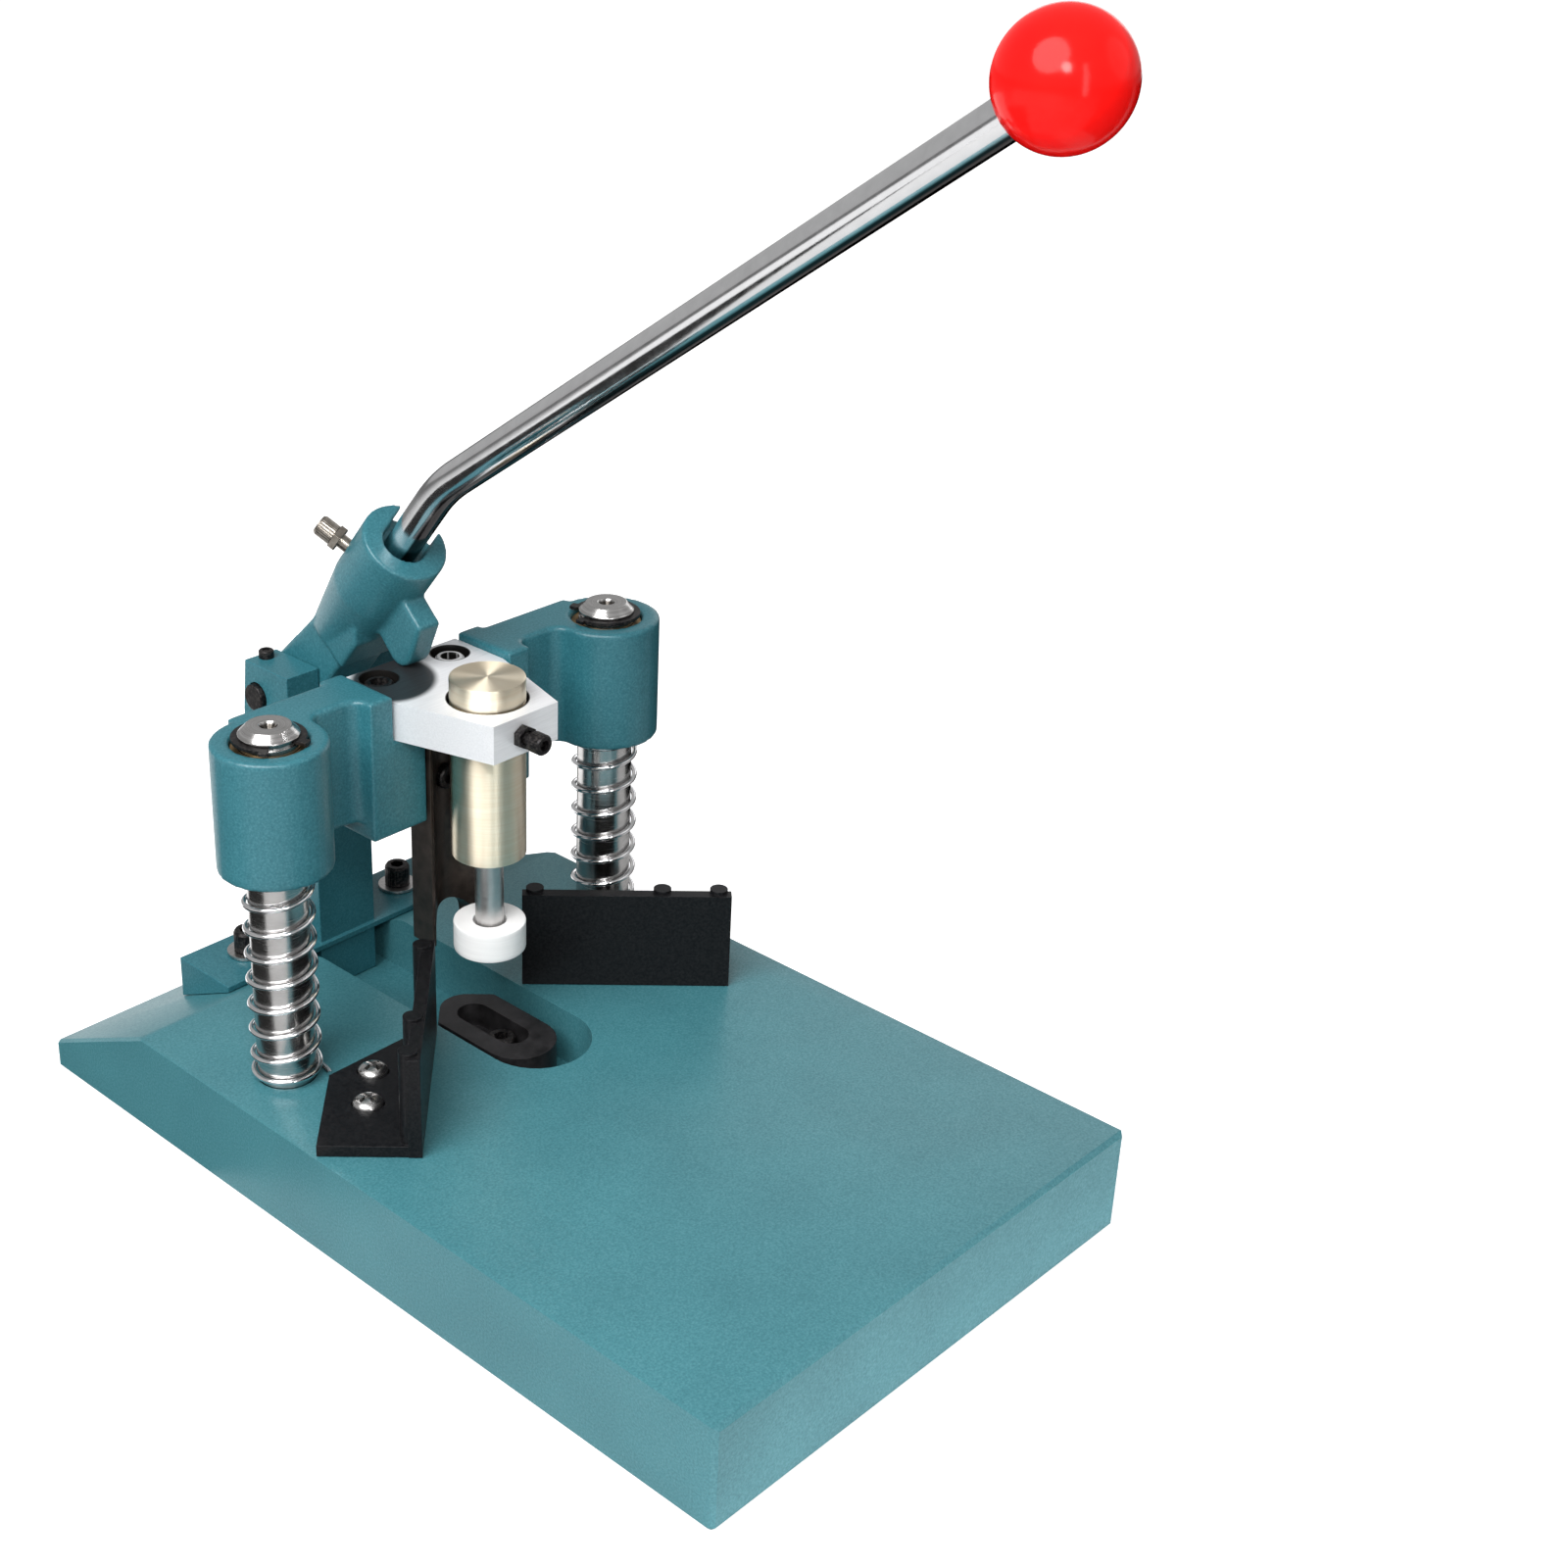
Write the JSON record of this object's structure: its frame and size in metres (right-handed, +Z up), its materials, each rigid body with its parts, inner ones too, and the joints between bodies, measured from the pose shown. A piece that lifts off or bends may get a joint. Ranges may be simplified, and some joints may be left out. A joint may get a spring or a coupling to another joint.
{
  "type": "corner rounder",
  "caption": "Bench corner rounder: cast base, sprung pressing head on posts, V-shaped shear blade and die, angled paper fences, bent hand lever with a ball.",
  "frame": {"origin": "on the plane the base stands on, under the middle of the whole machine with the lever up", "axes": "+Z up, -Y towards the user and the lever's ball, +X to the user's right"},
  "size_m": [0.2, 0.3472, 0.4015],
  "materials": {
    "teal_paint": "hammered enamel, semi-gloss",
    "bright_steel": "ground and polished",
    "chrome_plate": "polished",
    "black_steel": "blackened, satin",
    "blade_steel": "hardened and oiled",
    "die_steel": "blackened, matte",
    "turned_brass": "turned",
    "bronze": "sintered, matte",
    "brushed_aluminium": "brushed",
    "white_plastic": "matte",
    "red_plastic": "high gloss",
    "black_plastic": "matte, lightly textured"
  },
  "bodies": {
    "frame": {"base_casting": "teal_paint", "left_post": "bright_steel", "right_post": "bright_steel", "left_snap_ring": "black_steel", "right_snap_ring": "black_steel", "left_return_spring": "chrome_plate", "right_return_spring": "chrome_plate", "lower_die": "die_steel", "die_screw": "black_steel", "pedestal_casting": "teal_paint", "pivot_pin": "black_steel", "pin_lock_screw": "black_steel", "left_pedestal_washer": "bright_steel", "right_pedestal_washer": "bright_steel", "left_pedestal_screw": "black_steel", "right_pedestal_screw": "black_steel", "left_fence_screw_rear": "bright_steel", "left_fence_screw_front": "bright_steel", "right_fence_screw_rear": "bright_steel", "right_fence_screw_front": "bright_steel"},
    "head": {"head_casting": "teal_paint", "left_bushing": "bronze", "right_bushing": "bronze", "upper_blade": "blade_steel", "blade_screw_lower": "black_steel", "blade_screw_upper": "black_steel", "clamp_block": "brushed_aluminium", "left_block_screw": "bright_steel", "right_block_screw": "bright_steel", "sleeve_lock_screw": "black_steel", "sleeve_lock_nut": "black_steel"},
    "sleeve": {"presser_sleeve": "turned_brass", "sleeve_cap": "turned_brass", "presser_spring": "bright_steel"},
    "presser": {"presser_rod": "bright_steel", "presser_foot": "white_plastic"},
    "lever": {"lever_casting": "teal_paint", "lever_rod": "chrome_plate", "ball_knob": "red_plastic", "rod_clamp_bolt": "bright_steel", "clamp_lock_nut": "bright_steel"},
    "left_fence": {"left_fence": "black_plastic"},
    "right_fence": {"right_fence": "black_plastic"}
  },
  "joints": [
    {"name": "lever_swing", "type": "hinge", "parent": "frame", "child": "lever", "pos_m": [0, 0.13951, 0.1376], "axis": [1, 0, 0], "range_deg": [0, 41]},
    {"name": "head_slide", "type": "slide", "parent": "frame", "child": "head", "axis": [0, 0, -1], "range_m": [0, 0.043], "stiffness_N_per_m": 6000, "springref_m": -0.01, "deforming": ["left_return_spring", "right_return_spring"]},
    {"name": "sleeve_adjust", "type": "slide", "parent": "head", "child": "sleeve", "axis": [0, 0, 1], "range_m": [0, 0.005]},
    {"name": "presser_slide", "type": "slide", "parent": "sleeve", "child": "presser", "axis": [0, 0, 1], "range_m": [0, 0.0116], "stiffness_N_per_m": 800, "springref_m": -0.012, "deforming": ["presser_spring"]},
    {"name": "left_fence_slide", "type": "slide", "parent": "frame", "child": "left_fence", "axis": [-0.7071, 0.7071, 0], "range_m": [-0.003, 0.003]},
    {"name": "right_fence_slide", "type": "slide", "parent": "frame", "child": "right_fence", "axis": [0.7071, 0.7071, 0], "range_m": [-0.003, 0.003]}
  ],
  "couplings": [
    {"joint": "head_slide", "follows": "lever_swing", "m_per_rad": 0.06},
    {"joint": "presser_slide", "follows": "lever_swing", "m_per_rad": 0.016}
  ]
}
